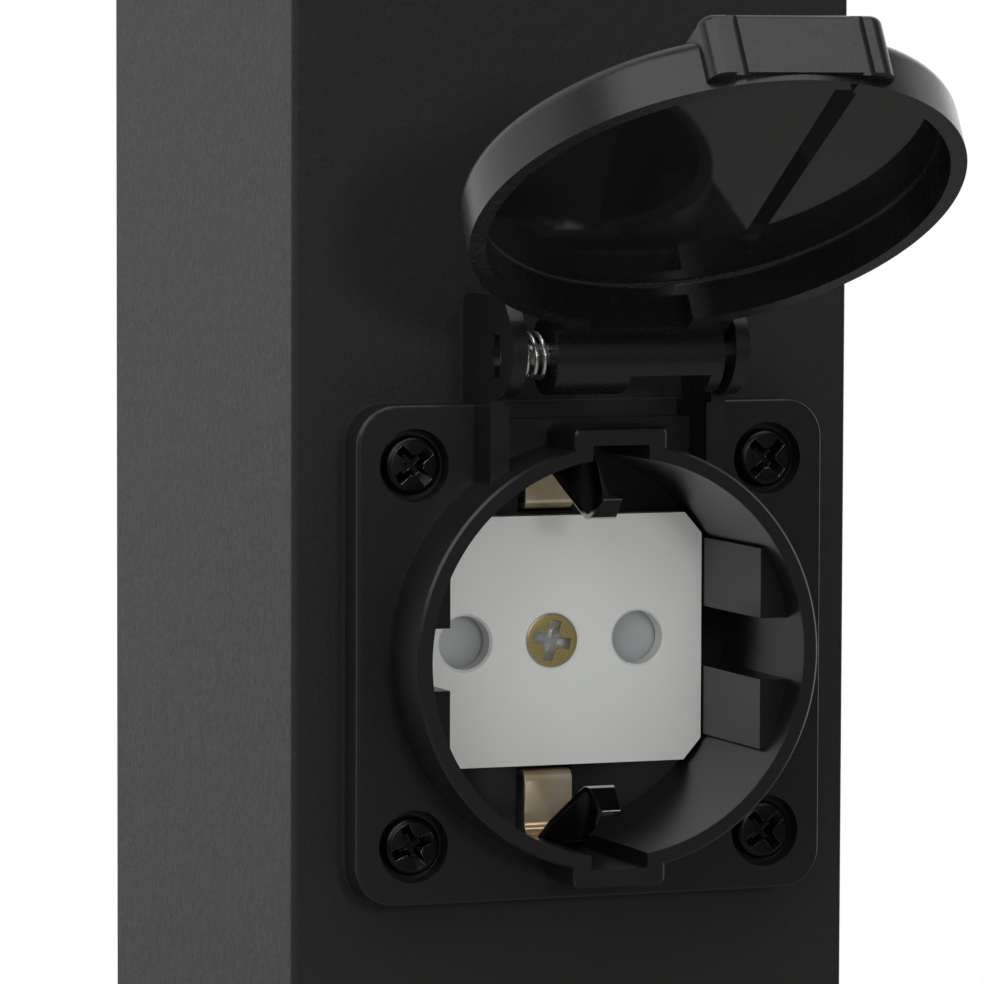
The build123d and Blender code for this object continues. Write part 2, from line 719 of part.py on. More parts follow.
# The knuckle's underside is cut away where the lid stands open, but for its right end, and bored for the pin
relief_width = knuckle_relief_right - knuckle_relief_left
relief_top = hinge_rise - knuckle_relief_drop
relief = Pos(
    (knuckle_relief_left + knuckle_relief_right) / 2, hinge_depth, relief_top - knuckle_radius / 2
) * Box(relief_width, 2 * knuckle_radius, knuckle_radius)
lid -= relief
pin_way = Pos(hinge_depth, hinge_rise) * Circle(pin_radius + fit_clearance)
lid -= sideways(pin_way, knuckle_left - overrun, knuckle_right + overrun)

# Lid spring, one length of wire wound round the hinge pin
spring, spring_path = coil_spring(
    spring_mean_radius, spring_wire_radius, spring_pitch, spring_turns, spring_leg_length
)
lid_spring = Pos(spring_left, hinge_depth, hinge_rise) * spring
spring_gap = least_gap(spring_path, spring_wire_radius, 2 * math.pi * spring_mean_radius, 400)
print("least gap between the turns of the lid spring:", round(spring_gap, 3))

# Contact cover, with a tab on its left side that lets it go in one way round
cover_side = cover_width / 2
cover_edge = cover_height / 2
cover = Polygon(
    (-cover_side, cover_corner_height - cover_edge),
    (cover_corner_width - cover_side, -cover_edge),
    (cover_side - cover_corner_width, -cover_edge),
    (cover_side, cover_corner_height - cover_edge),
    (cover_side, cover_edge - cover_corner_height),
    (cover_side - cover_corner_width, cover_edge),
    (cover_corner_width - cover_side, cover_edge),
    (-cover_side, cover_edge - cover_corner_height),
    align=None,
)
cover += Pos(-cover_tab_reach / 2, 0) * Rectangle(cover_tab_reach, cover_tab_height)
cover = facing(cover, cover_front_depth, well_floor_depth)
pin_places = [-pin_spacing / 2, pin_spacing / 2]
for x in pin_places:
    hole = facing(Pos(x, 0) * Circle(pin_hole_radius), cover_front_depth - overrun, well_floor_depth + overrun)
    cover -= hole
    lead_in = Cone(
        pin_hole_radius, pin_hole_radius + pin_hole_lead, pin_hole_lead, align=(Align.CENTER, Align.CENTER, Align.MAX)
    )
    cover -= Pos(x, cover_front_depth, 0) * facing_front * lead_in
screw_front = Pos(0, cover_front_depth, 0) * facing_front
cover -= screw_front * countersink(
    centre_screw_radius, centre_head_radius, centre_head_height, cover_thickness + overrun
)

# Shutter behind the cover, a bow tie that turns about the carrier's boss
shutter_front = well_floor_depth + shutter_gap
shutter_back = well_back_depth - shutter_gap
shutter = Rectangle(2 * shutter_half_length, 2 * shutter_half_width) + Circle(shutter_hub_radius)
shutter -= Circle(boss_radius + fit_clearance)
shutter = facing(shutter, shutter_front, shutter_back)

# Contact carrier: boss, spring recess, two contact chambers, clip slots and a rim for the rear cover
carrier = facing(Circle(carrier_radius), well_back_depth, carrier_rim_depth)
carrier -= facing(Circle(carrier_radius - carrier_rim_wall), carrier_back_depth, carrier_rim_depth + overrun)
carrier += facing(Circle(boss_radius), well_floor_depth + fit_clearance, well_back_depth)
spring_recess_radius = boss_radius + 2 * shutter_spring_gap + 2 * shutter_wire_radius
spring_recess_depth = shutter_spring_pitch * shutter_spring_turns + 2 * shutter_wire_radius + 2 * fit_clearance
spring_ring = Circle(spring_recess_radius) - Circle(boss_radius)
carrier -= facing(spring_ring, well_back_depth - overrun, well_back_depth + spring_recess_depth)
for x in pin_places:
    chamber = Pos(x, (chamber_top - chamber_bottom) / 2) * Rectangle(
        2 * chamber_half_width, chamber_top + chamber_bottom
    )
    carrier -= facing(chamber, well_back_depth + chamber_front_wall, carrier_back_depth + overrun)
    carrier -= facing(
        Pos(x, 0) * Circle(contact_entry_radius), well_back_depth - overrun, well_back_depth + 2 * chamber_front_wall
    )
clip_slot = Rectangle(clip_width + 2 * loose_clearance, 2 * (clip_leg_rise + clip_thickness / 2 + loose_clearance))
clip_slot -= Rectangle(clip_width + 2 * overrun, 2 * (clip_leg_rise - clip_thickness / 2 - clip_base_radius))
carrier -= facing(clip_slot, well_back_depth - overrun, carrier_back_depth + overrun)
carrier -= facing(
    Circle(centre_screw_radius + fit_clearance), well_floor_depth - overrun, carrier_back_depth + overrun
)
terminal_back = carrier_back_depth
terminal_middle = terminal_back - terminal_depth / 2
entry_bottom = -carrier_radius - overrun
for x in pin_places:
    carrier -= Pos(x, terminal_middle, entry_bottom) * Cylinder(
        wire_entry_radius, carrier_radius + overrun - chamber_bottom + overrun,
        align=(Align.CENTER, Align.CENTER, Align.MIN),
    )
clip_rear = carrier_back_depth + clip_thickness
earth_entry_depth = clip_rear + earth_clamp_depth / 2
carrier -= Pos(earth_wire_offset, earth_entry_depth, entry_bottom) * Cylinder(
    wire_entry_radius, carrier_rim_wall + 2 * overrun, align=(Align.CENTER, Align.CENTER, Align.MIN)
)

# Line and neutral contacts: a split sleeve for the pin, joined to a clamp for the wire
sleeve_front = well_back_depth + chamber_front_wall + loose_clearance
sleeve_back = sleeve_front + sleeve_length
contacts = []
contact_screws = []
for x in pin_places:
    sleeve = Circle(sleeve_inner_radius + sleeve_wall) - Circle(sleeve_inner_radius)
    sleeve -= Pos(0, sleeve_inner_radius) * Rectangle(sleeve_split_width, 2 * sleeve_inner_radius)
    sleeve = facing(Pos(x, 0) * sleeve, sleeve_front, sleeve_back)
    tail_top = -sleeve_inner_radius - sleeve_wall / 2
    tail = Pos(x, (tail_top - terminal_centre) / 2) * Rectangle(terminal_width / 2, terminal_centre + tail_top)
    tail = facing(tail, sleeve_back - 2 * sleeve_wall, sleeve_back - sleeve_wall)
    clamp = Pos(x, -terminal_centre) * Rectangle(terminal_width, terminal_height)
    contact = sleeve + tail + facing(clamp, terminal_back - terminal_depth, terminal_back)
    contact -= Pos(x, terminal_middle, -terminal_centre - terminal_height / 2) * Cylinder(
        wire_radius + fit_clearance, terminal_height - sleeve_wall, align=(Align.CENTER, Align.CENTER, Align.MIN)
    )
    screw_at = Pos(x, terminal_back, -terminal_centre) * Rot(-90, 0, 0)
    shank = terminal_depth / 2 - wire_radius - fit_clearance
    contact -= screw_at * Cylinder(
        terminal_screw_radius + fit_clearance, shank + fit_clearance, align=(Align.CENTER, Align.CENTER, Align.MAX)
    )
    screw = Cylinder(terminal_screw_radius, shank, align=(Align.CENTER, Align.CENTER, Align.MAX))
    screw += Cylinder(terminal_head_radius, terminal_head_height, align=(Align.CENTER, Align.CENTER, Align.MIN))
    contacts.append(contact)
    contact_screws.append(screw_at * screw)

# Earth clip: from the strip across the carrier's back, through the floor, out, forward and in to the nose
clip_base_depth = carrier_back_depth + clip_thickness / 2
clip_points = [
    (clip_base_depth, 0),
    (clip_base_depth, clip_leg_rise),
    (clip_shelf_depth, clip_leg_rise),
    (clip_shelf_depth, clip_bow_rise),
    (clip_bow_depth, clip_bow_rise),
    (clip_nose_depth, clip_nose_rise),
    (clip_tip_depth, clip_tip_rise),
]
clip_radii = [clip_base_radius, clip_shelf_radius, clip_bow_radius, clip_back_radius, clip_nose_radius]
clip_line = FilletPolyline(*clip_points, radius=clip_radii)
clip_half = sideways(trace(clip_line, clip_thickness), -clip_width / 2, clip_width / 2)
clip_plan = Polygon(
    (-clip_width / 2 - overrun, carrier_rim_depth),
    (clip_width / 2 + overrun, carrier_rim_depth),
    (clip_width / 2 + overrun, clip_taper_depth),
    (clip_width / 2, clip_taper_depth),
    (clip_tip_width / 2, clip_tip_depth),
    (clip_tip_width / 2, clip_tip_depth - overrun),
    (-clip_tip_width / 2, clip_tip_depth - overrun),
    (-clip_tip_width / 2, clip_tip_depth),
    (-clip_width / 2, clip_taper_depth),
    (-clip_width / 2 - overrun, clip_taper_depth),
    align=None,
)
clip_half &= upright(clip_plan, -overrun, key_slot_reach)
earth_clip = clip_half + mirror(clip_half, Plane.XY)
earth_clip -= facing(
    Circle(centre_screw_radius + fit_clearance), carrier_back_depth - overrun, carrier_rim_depth
)

# Nut, centre screw and the earth clamp on the clip's base
centre_nut = Pos(0, clip_rear, 0) * Rot(-90, 0, 0) * hexagon(
    nut_width, nut_thickness, centre_screw_radius + fit_clearance
)
centre_length = clip_rear + nut_thickness + centre_screw_tail - cover_front_depth
centre_screw = screw_front * countersunk_screw(
    centre_screw_radius, centre_head_radius, centre_head_height, centre_length
)
clamp_hole = Pos(0, -earth_clamp_drop) * Circle(terminal_screw_radius + fit_clearance)
clamp_back = clip_rear + earth_clamp_depth
earth_clamp = Pos(earth_clamp_offset, -earth_clamp_drop) * Rectangle(earth_clamp_width, earth_clamp_height)
earth_clamp = facing(earth_clamp - clamp_hole, clip_rear, clamp_back)
earth_clamp -= Pos(earth_wire_offset, earth_entry_depth, -earth_clamp_drop - earth_clamp_height / 2) * Cylinder(
    wire_radius + fit_clearance, earth_clamp_height - sleeve_wall, align=(Align.CENTER, Align.CENTER, Align.MIN)
)
earth_clip -= facing(clamp_hole, carrier_back_depth - overrun, clip_rear)
carrier -= facing(clamp_hole, carrier_back_depth - terminal_depth, carrier_back_depth + overrun)
earth_clamp_screw = Cylinder(
    terminal_screw_radius,
    earth_clamp_depth + clip_thickness + terminal_depth / 2,
    align=(Align.CENTER, Align.CENTER, Align.MAX),
)
earth_clamp_screw += Cylinder(terminal_head_radius, terminal_head_height, align=(Align.CENTER, Align.CENTER, Align.MIN))
earth_clamp_screw = Pos(0, clamp_back, -earth_clamp_drop) * Rot(-90, 0, 0) * earth_clamp_screw

# Shutter spring, wound round the boss in its recess
shutter_coil, shutter_path = coil_spring(
    boss_radius + shutter_spring_gap + shutter_wire_radius,
    shutter_wire_radius,
    shutter_spring_pitch,
    shutter_spring_turns,
    0,
)
shutter_turn_gap = least_gap(shutter_path, shutter_wire_radius, 2 * math.pi * boss_radius, 300)
print("least gap between the turns of the shutter spring:", round(shutter_turn_gap, 3))
shutter_spring = Pos(0, well_back_depth + shutter_wire_radius + fit_clearance, 0) * Rot(0, 0, 90) * shutter_coil

# Rear cover
rear_cover = facing(Circle(carrier_radius), carrier_rim_depth, carrier_rim_depth + rear_cover_thickness)
rear_lip_radius = carrier_radius - carrier_rim_wall - fit_clearance
rear_lip = Circle(rear_lip_radius) - Circle(rear_lip_radius - carrier_rim_wall)
rear_cover += facing(rear_lip, carrier_rim_depth - rear_cover_lip, carrier_rim_depth)

# Wires between the block and the socket
wire_top = socket_height - terminal_centre + terminal_height / 2 - 2 * sleeve_wall
earth_top = socket_height - earth_clamp_drop + earth_clamp_height / 2 - 2 * sleeve_wall
earth_depth = earth_entry_depth - flange_front
wire_depth = terminal_middle - flange_front
block_top = block_bottom + block_height
wire_bottom = block_centre + clamp_screw_spacing / 2 - clamp_screw_radius
bond_top = block_centre - clamp_screw_spacing / 2 + clamp_screw_radius
lug_y = bracket_face - lug_barrel_radius
lug_wire_bottom = stud_height + lug_offset + 2 * wire_end_gap


def wire(points):
    """A length of insulated wire along a route of straight runs joined by tangent arcs."""
    vectors = [Vector(*point) for point in points]
    radii = []
    for before, here, after in zip(vectors, vectors[1:], vectors[2:]):
        run = min((here - before).length, (after - here).length)
        half_turn = math.radians((here - before).get_angle(after - here)) / 2
        radii.append(wire_bend_share * run / math.tan(half_turn))
    path = FilletPolyline(*vectors, radius=radii)
    path = Wire(path.edges()) if not isinstance(path, Wire) else path
    section = Plane(origin=path @ 0, z_dir=path % 0) * Circle(wire_radius)
    body = sweep(section, path=path)
    share = body.volume / (math.pi * wire_radius**2 * path.length)
    print("wire radii", [round(radius, 1) for radius in radii], "volume share", round(share, 4))
    return body


def core(top_x, top_y, top, bend_x, pole_x):
    """A wire from the socket down to its pole, its bends at fixed shares of the height between the two."""
    high, middle, low = (wire_bottom + share * (top - wire_bottom) for share in wire_route_shares)
    return wire(
        [
            (top_x, top_y, top),
            (top_x, top_y, high),
            (bend_x, wire_bend_depth, middle),
            (pole_x, pole_y, low),
            (pole_x, pole_y, wire_bottom),
        ]
    )


live_wire = core(pin_places[1], wire_depth, wire_top, wire_bend_offset, block_pole_spacing)
neutral_wire = core(pin_places[0], wire_depth, wire_top, -wire_bend_offset, -block_pole_spacing)
earth_wire = core(earth_wire_offset, earth_depth, earth_top, earth_bend_offset, 0)
bond_low, bond_high = (lug_wire_bottom + share * (bond_top - lug_wire_bottom) for share in bond_route_shares)
bond_wire = wire(
    [
        (0, lug_y, lug_wire_bottom),
        (0, lug_y, bond_low),
        (0, pole_y, bond_high),
        (0, pole_y, bond_top),
    ]
)

named = {
    "post_tube": tube,
    "foot_plate": foot,
    "foot_screws": foot_screws,
    "cable_grommet": grommet,
    "top_cap": cap,
    "cap_seal": cap_seal,
    "cap_screws": cap_screws,
    "terminal_bracket": bracket,
    "bracket_screws": bracket_screws,
    "terminal_block": block,
    "pole_sleeves": pole_sleeves,
    "clamp_screws": clamp_screws,
    "block_screws": block_screws,
    "earth_stud": earth_stud,
    "earth_lug": earth_lug,
    "earth_nut": earth_nut,
    "live_wire": live_wire,
    "neutral_wire": neutral_wire,
    "earth_wire": earth_wire,
    "bond_wire": bond_wire,
}
on_the_socket = {
    "socket_housing": housing,
    "flange_seal": flange_seal,
    "flange_screws": flange_screws,
    "hinge_pin": hinge_pin,
    "lid": lid,
    "lid_spring": lid_spring,
    "contact_cover": cover,
    "centre_screw": centre_screw,
    "centre_nut": centre_nut,
    "shutter": shutter,
    "shutter_spring": shutter_spring,
    "contact_carrier": carrier,
    "line_contact": contacts[1],
    "neutral_contact": contacts[0],
    "contact_screws": contact_screws,
    "earth_clip": earth_clip,
    "earth_clamp": earth_clamp,
    "earth_clamp_screw": earth_clamp_screw,
    "rear_cover": rear_cover,
}


def as_piece(shape):
    """One shape for one file: a single solid, or a group of separate ones."""
    if isinstance(shape, list):
        return Compound(children=[solid for item in shape for solid in item.solids()])
    return shape


for name, shape in named.items():
    export_step(as_piece(shape), f"parts/{name}.step")
for name, shape in on_the_socket.items():
    export_step(on_socket * as_piece(shape), f"parts/{name}.step")
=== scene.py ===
# %% [markdown]
# # A garden socket post
#
# The object is a square coated post with one earthed panel socket under a sprung lid. Its sizes and its
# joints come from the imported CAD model, which is loaded first and isn't moved. This file gives the CAD
# pieces their finishes, replaces the plain screws by ones with a driver recess, and sets up the picture.

# %% Load the CAD model
import json
import math

import bmesh
import bpy
from mathutils import Matrix, Vector

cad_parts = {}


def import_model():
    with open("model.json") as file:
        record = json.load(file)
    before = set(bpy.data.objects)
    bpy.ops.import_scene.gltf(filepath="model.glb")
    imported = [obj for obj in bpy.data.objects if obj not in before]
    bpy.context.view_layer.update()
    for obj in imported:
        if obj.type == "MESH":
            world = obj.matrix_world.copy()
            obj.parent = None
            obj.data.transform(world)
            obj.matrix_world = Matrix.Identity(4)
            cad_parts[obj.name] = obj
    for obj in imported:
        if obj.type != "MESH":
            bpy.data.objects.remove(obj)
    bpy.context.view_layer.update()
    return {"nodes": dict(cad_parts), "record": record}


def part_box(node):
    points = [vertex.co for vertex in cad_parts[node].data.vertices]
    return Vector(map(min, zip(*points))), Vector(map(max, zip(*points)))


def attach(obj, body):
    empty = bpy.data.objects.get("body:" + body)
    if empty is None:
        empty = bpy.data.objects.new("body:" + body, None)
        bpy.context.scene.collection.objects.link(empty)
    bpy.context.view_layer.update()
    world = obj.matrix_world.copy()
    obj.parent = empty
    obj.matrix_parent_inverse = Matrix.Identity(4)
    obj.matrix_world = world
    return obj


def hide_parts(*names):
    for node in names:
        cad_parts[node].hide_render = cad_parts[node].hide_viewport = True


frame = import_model()
nodes = frame["nodes"]
MM = 0.001
print(len(nodes), "CAD nodes loaded")

# %% [markdown]
# ## Camera
#
# The photograph is taken from the left and a little above, with a long lens. The camera's place and turns
# were worked out from points whose real sizes are known: the flange, the collar, the pin holes and the
# edges of the post.

# %% Camera
camera_place = Vector((-211.3, -565.0, 256.9)) * MM
camera_yaw = math.radians(20.73)
camera_pitch = math.radians(4.11)
camera_roll = math.radians(0.19)
film_width = 36
focal_length = 208.8
nearest_seen = 0.01
ahead = Vector((math.sin(camera_yaw), math.cos(camera_yaw), 0))
look = math.cos(camera_pitch) * ahead - math.sin(camera_pitch) * Vector((0, 0, 1))
level = Vector((math.cos(camera_yaw), -math.sin(camera_yaw), 0))
upward = level.cross(look)
right = math.cos(camera_roll) * level + math.sin(camera_roll) * upward
up = math.cos(camera_roll) * upward - math.sin(camera_roll) * level
camera_data = bpy.data.cameras.new("camera")
camera_data.sensor_width = film_width
camera_data.lens = focal_length
camera_data.clip_start = nearest_seen
camera = bpy.data.objects.new("camera", camera_data)
bpy.context.scene.collection.objects.link(camera)
turned = Matrix((right, up, -look)).transposed().to_4x4()
camera.matrix_world = Matrix.Translation(camera_place) @ turned
bpy.context.scene.camera = camera
print("camera at", [round(v, 4) for v in camera_place])

# %% [markdown]
# ## Light
#
# The post stands before a white backdrop, in a room that is dark on the camera's side. So the black plastic
# that faces the camera stays black, and what sees the backdrop at a flat angle turns grey. Broad lamps above
# and to the left give the sheen on the lid's wall and on the cover. A small one near the camera casts the
# lid's soft shadow on the post, and a weak one behind lights the back.

# %% Lamps
bpy.context.scene.view_settings.view_transform = "Standard"
socket_rise = 200 * MM
flange_front = -35.2 * MM
socket_centre = Vector((0, flange_front, socket_rise))
lamps = {  # a square lamp's place and side in metres, and its power in watts
    "top_lamp": ((0.2, -0.6, 1.45), 1.0, 5.5),
    "left_lamp": ((-0.84, -0.74, 1.1), 1.25, 9.5),
    "front_lamp": ((0.02, -1.4, 0.47), 0.16, 1.6),
    "back_lamp": ((0.8, 1.1, 0.7), 0.9, 1.5),
}
for name, (place, side, power) in lamps.items():
    data = bpy.data.lights.new(name, "AREA")
    data.size = side
    data.energy = power
    obj = bpy.data.objects.new(name, data)
    bpy.context.scene.collection.objects.link(obj)
    obj.location = place
    obj.rotation_euler = (socket_centre - Vector(place)).to_track_quat("-Z", "Y").to_euler()
print(", ".join(lamps))

# %% [markdown]
# The world gives the rest. The camera sees it white. A mirror ray sees it white behind the post and dark
# toward the camera, as in the room, and every rough surface gets the same even light from all sides. All
# nodes in this file are added by one small function.


# %% World
def add(tree, kind, settings=None, inputs=None):
    """Adds one node. An input is a plain value, or the output socket that feeds it."""
    node = tree.nodes.new(kind)
    for key, value in (settings or {}).items():
        setattr(node, key, value)
    for key, value in (inputs or {}).items():
        if isinstance(value, bpy.types.NodeSocket):
            tree.links.new(value, node.inputs[key])
        else:
            node.inputs[key].default_value = value
    return node


even_light = 0.74
dark_room = 0.08
white_backdrop = 0.95
room_ends = -0.1
backdrop_starts = 0.35
world = bpy.data.worlds.new("studio")
bpy.context.scene.world = world
world.use_nodes = True
tree = world.node_tree
tree.nodes.clear()
ray = add(tree, "ShaderNodeLightPath").outputs
direction = add(tree, "ShaderNodeTexCoord").outputs["Generated"]
depth = add(tree, "ShaderNodeSeparateXYZ", inputs={0: direction}).outputs["Y"]
room = add(
    tree,
    "ShaderNodeMapRange",
    {"interpolation_type": "SMOOTHSTEP"},
    {
        "Value": depth,
        "From Min": room_ends,
        "From Max": backdrop_starts,
        "To Min": dark_room,
        "To Max": white_backdrop,
    },
).outputs["Result"]
mirror_ray = add(
    tree,
    "ShaderNodeMath",
    {"operation": "MAXIMUM"},
    {0: ray["Is Glossy Ray"], 1: ray["Is Transmission Ray"]},
).outputs[0]
lit = add(tree, "ShaderNodeMix", inputs={"Factor": mirror_ray, "A": even_light, "B": room}).outputs[0]
seen = add(tree, "ShaderNodeMix", inputs={"Factor": ray["Is Camera Ray"], "A": lit, "B": 1.0}).outputs[0]
background = add(tree, "ShaderNodeBackground", inputs={"Color": (1, 1, 1, 1), "Strength": seen})
add(tree, "ShaderNodeOutputWorld", inputs={"Surface": background.outputs[0]})
print("white world, even light", even_light)

# %% [markdown]
# ## Finishes
#
# Every finish starts from what the real one is and how it was made. Its colour drifts between two close
# tones, and a fine noise drives its gloss and its bump, because no moulded, coated or plated surface is
# even. Colours are written as they look on a screen and turned to linear light by one function. A
# pattern's scale comes from a real size in millimetres.


# %% Colour and scale
def colour(text):
    """A screen colour such as 8899aa as linear light."""
    values = [int(text[i : i + 2], 16) / 255 for i in (0, 2, 4)]
    return tuple(v / 12.92 if v <= 0.04045 else ((v + 0.055) / 1.055) ** 2.4 for v in values) + (1.0,)


def per_metre(size):
    """The noise scale whose patches are about this many millimetres across."""
    return 1 / (size * MM)


print("screen grey 808080 is", round(colour("808080")[0], 3), "in linear light")

# %% [markdown]
# Handling rubs a finish off the edges first. The Bevel node gives the normal that a slightly rounded edge
# would have. Where it turns away from the true one there is an edge, and a noise leaves gaps in the wear,
# so that no edge is outlined all round.
# On the earth clip the same light edge is a painted highlight, where its edges catch the light.

# %% Rubbed edges and painted edge highlights
bevel_samples = 6
flat_cosine = 0.97
edge_cosine = 0.85
gap_tones = (0.44, 0.56)


def edge_wear_and_glint_mask(tree, place, width, gap):
    """How light each edge is painted, as wear on the screws and as a painted highlight on the earth clip,
    and the rounded normal, for edges and gaps of these sizes in mm.
    """
    bevel = add(tree, "ShaderNodeBevel", {"samples": bevel_samples}, {"Radius": width * MM})
    rounded = bevel.outputs["Normal"]
    true_normal = add(tree, "ShaderNodeNewGeometry").outputs["True Normal"]
    cosine = add(tree, "ShaderNodeVectorMath", {"operation": "DOT_PRODUCT"}, {0: rounded, 1: true_normal})
    edge = add(
        tree,
        "ShaderNodeMapRange",
        inputs={"Value": cosine.outputs["Value"], "From Min": flat_cosine, "From Max": edge_cosine},
    ).outputs["Result"]
    edge_gap_noise = add(tree, "ShaderNodeTexNoise", inputs={"Vector": place, "Scale": per_metre(gap)})
    kept = add(
        tree,
        "ShaderNodeMapRange",
        inputs={"Value": edge_gap_noise.outputs["Fac"], "From Min": gap_tones[0], "From Max": gap_tones[1]},
    ).outputs["Result"]
    edge_wear_and_glint_share = add(tree, "ShaderNodeMath", {"operation": "MULTIPLY"}, {0: edge, 1: kept})
    return edge_wear_and_glint_share.outputs[0], rounded


# %% [markdown]
# One function makes every finish, so that a new one needs one line. What few finishes have, such as a
# polished zone, a stripe, rubbed edges, an edge or zone painted light as a painted highlight, or a coarser
# relief, is asked for by name. The layers of colour lie on each other in the order in which a real surface
# gets them.

# %% Surface
stripe_cosine = 0.75
grain_tones = (0.3, 0.7)


def surface(
    name,
    dark,
    light,
    patch,
    roughness,
    grain,
    bump,
    metallic=0.0,
    mottle=None,
    stripe=None,
    edge_wear_and_glint=None,
    polished=None,
    bare_and_highlight=None,
):
    """A shader whose colour drifts between two tones and whose grain shows in its gloss and its bump.

    patch and grain are the sizes of the tone's patches and of the grain, and bump the grain's height, all
    in millimetres. roughness is the lowest and the highest. mottle is a coarser relief's patch size and
    height. stripe is the colour of a stripe along each side of a wire. worn is the colour that edges are
    painted, with their width and the size of the gaps: steel showing through on the screws, and a painted
    highlight on the earth clip. polished is a function that marks a zone, with that zone's roughness. bare
    is a function that marks a zone painted in a light metal colour, with that colour: plain metal on the
    clip's arms and in the centre screw's recess, and a painted highlight on the centre screw's rim."""
    material = bpy.data.materials.new(name)
    material.use_nodes = True
    tree = material.node_tree
    tree.nodes.clear()
    where = add(tree, "ShaderNodeTexCoord").outputs
    place = where["Object"]
    drift = add(
        tree, "ShaderNodeTexNoise", inputs={"Vector": place, "Scale": per_metre(patch), "Detail": 3.0}
    ).outputs["Fac"]
    fine = add(
        tree,
        "ShaderNodeTexNoise",
        inputs={"Vector": place, "Scale": per_metre(grain), "Detail": 4.0, "Roughness": 0.6},
    ).outputs["Fac"]
    shine = add(
        tree,
        "ShaderNodeMapRange",
        inputs={
            "Value": fine,
            "From Min": grain_tones[0],
            "From Max": grain_tones[1],
            "To Min": roughness[0],
            "To Max": roughness[1],
        },
    ).outputs["Result"]
    if polished:
        zone, zone_roughness = polished
        inside = zone(tree, place)
        inputs = {"Factor": inside, "A": shine, "B": zone_roughness}
        shine = add(tree, "ShaderNodeMix", inputs=inputs).outputs[0]
        outside = add(tree, "ShaderNodeMath", {"operation": "SUBTRACT"}, {0: 1.0, 1: inside}).outputs[0]
        fine = add(tree, "ShaderNodeMath", {"operation": "MULTIPLY"}, {0: fine, 1: outside}).outputs[0]

    layers = [(drift, light)]
    if stripe:
        sideways = add(tree, "ShaderNodeSeparateXYZ", inputs={0: where["Normal"]}).outputs["X"]
        flank = add(tree, "ShaderNodeMath", {"operation": "ABSOLUTE"}, {0: sideways}).outputs[0]
        band = add(tree, "ShaderNodeMath", {"operation": "GREATER_THAN"}, {0: flank, 1: stripe_cosine})
        layers.append((band.outputs[0], stripe))
    normal = None
    # Edges painted light: steel worn through on the screws, and a painted highlight on the earth clip.
    if edge_wear_and_glint:
        edge_wear_and_glint_colour, edge_band_width, edge_gap_size = edge_wear_and_glint
        edge_wear_and_glint_share, normal = edge_wear_and_glint_mask(tree, place, edge_band_width, edge_gap_size)
        layers.append((edge_wear_and_glint_share, edge_wear_and_glint_colour))
    # A zone painted in a light metal colour: plain metal on the clip's arms and the screw's recess, and a
    # painted highlight on the centre screw's rim.
    if bare_and_highlight:
        bare_and_highlight_zone, bare_and_highlight_colour = bare_and_highlight
        bare_and_highlight_share = bare_and_highlight_zone(tree, place)
        metallic = add(tree, "ShaderNodeMix", inputs={"Factor": bare_and_highlight_share, "A": metallic, "B": 1.0}).outputs[0]
        layers.append((bare_and_highlight_share, bare_and_highlight_colour))
    paint = colour(dark)
    for share, tint in layers:
        inputs = {"Factor": share, "A": paint, "B": colour(tint)}
        paint = add(tree, "ShaderNodeMix", {"data_type": "RGBA"}, inputs).outputs["Result"]

    reliefs = [(fine, bump)]
    if mottle:
        size, depth = mottle
        inputs = {"Vector": place, "Scale": per_metre(size), "Detail": 2.0}
        waves = add(tree, "ShaderNodeTexNoise", inputs=inputs)
        reliefs.append((waves.outputs["Fac"], depth))
    for height, depth in reliefs:
        inputs = {"Height": height, "Distance": depth * MM, "Strength": 1.0}
        if normal:
            inputs["Normal"] = normal
        normal = add(tree, "ShaderNodeBump", inputs=inputs).outputs["Normal"]
    shader = add(
        tree,
        "ShaderNodeBsdfPrincipled",
        inputs={"Base Color": paint, "Roughness": shine, "Normal": normal, "Metallic": metallic},
    )
    add(tree, "ShaderNodeOutputMaterial", inputs={"Surface": shader.outputs[0]})
    return material


# %% [markdown]
# Powder coat is polyester dust melted on the metal. It flows to a fine, even, matt texture with a faint
# orange peel, so the light on it is broad and soft with a faint speckle. Both are drawn a little coarser
# than they are, or they would be finer than a pixel.

# %% Powder coat
finishes = {}
finishes["post_coating"] = surface(
    "powder_coat", "0F100E", "141512", 30, (0.52, 0.64), 0.45, 0.05, mottle=(1.6, 0.045)
)
print("finish", finishes["post_coating"].name)

# %% [markdown]
# The housing, the lid and the seal are moulded. The housing and the lid are a tough black thermoplastic
# with a slight gloss from the polished steel of the mould. The mould's cores are polished more than its
# outside, so the recess for the plug shines a little, and the flat floor inside the lid is a dark mirror.
# The zones are found from a point's distance to an axis and its place along it. The seal's rubber is matt
# and a little greyer. The fine grain of every plastic and metal here is drawn coarser than it is, as coarse
# as it needs to be to show at all.

# %% Zones that the mould's polished cores give
well_core_radius = 19.95 * MM
well_core_front = 7.2 * MM
hinge_forward = 5.8
hinge_rise = 30
hinge_place = socket_centre + Vector((0, -hinge_forward, hinge_rise)) * MM
lid_open_angle = math.radians(120.8)
lid_forward = Vector((0, -math.cos(lid_open_angle), math.sin(lid_open_angle)))
lid_downward = Vector((0, -math.sin(lid_open_angle), -math.cos(lid_open_angle)))
lid_centre = hinge_place + lid_downward * hinge_rise * MM
lid_floor_radius = 22.2 * MM
lid_floor_height = 4.3 * MM


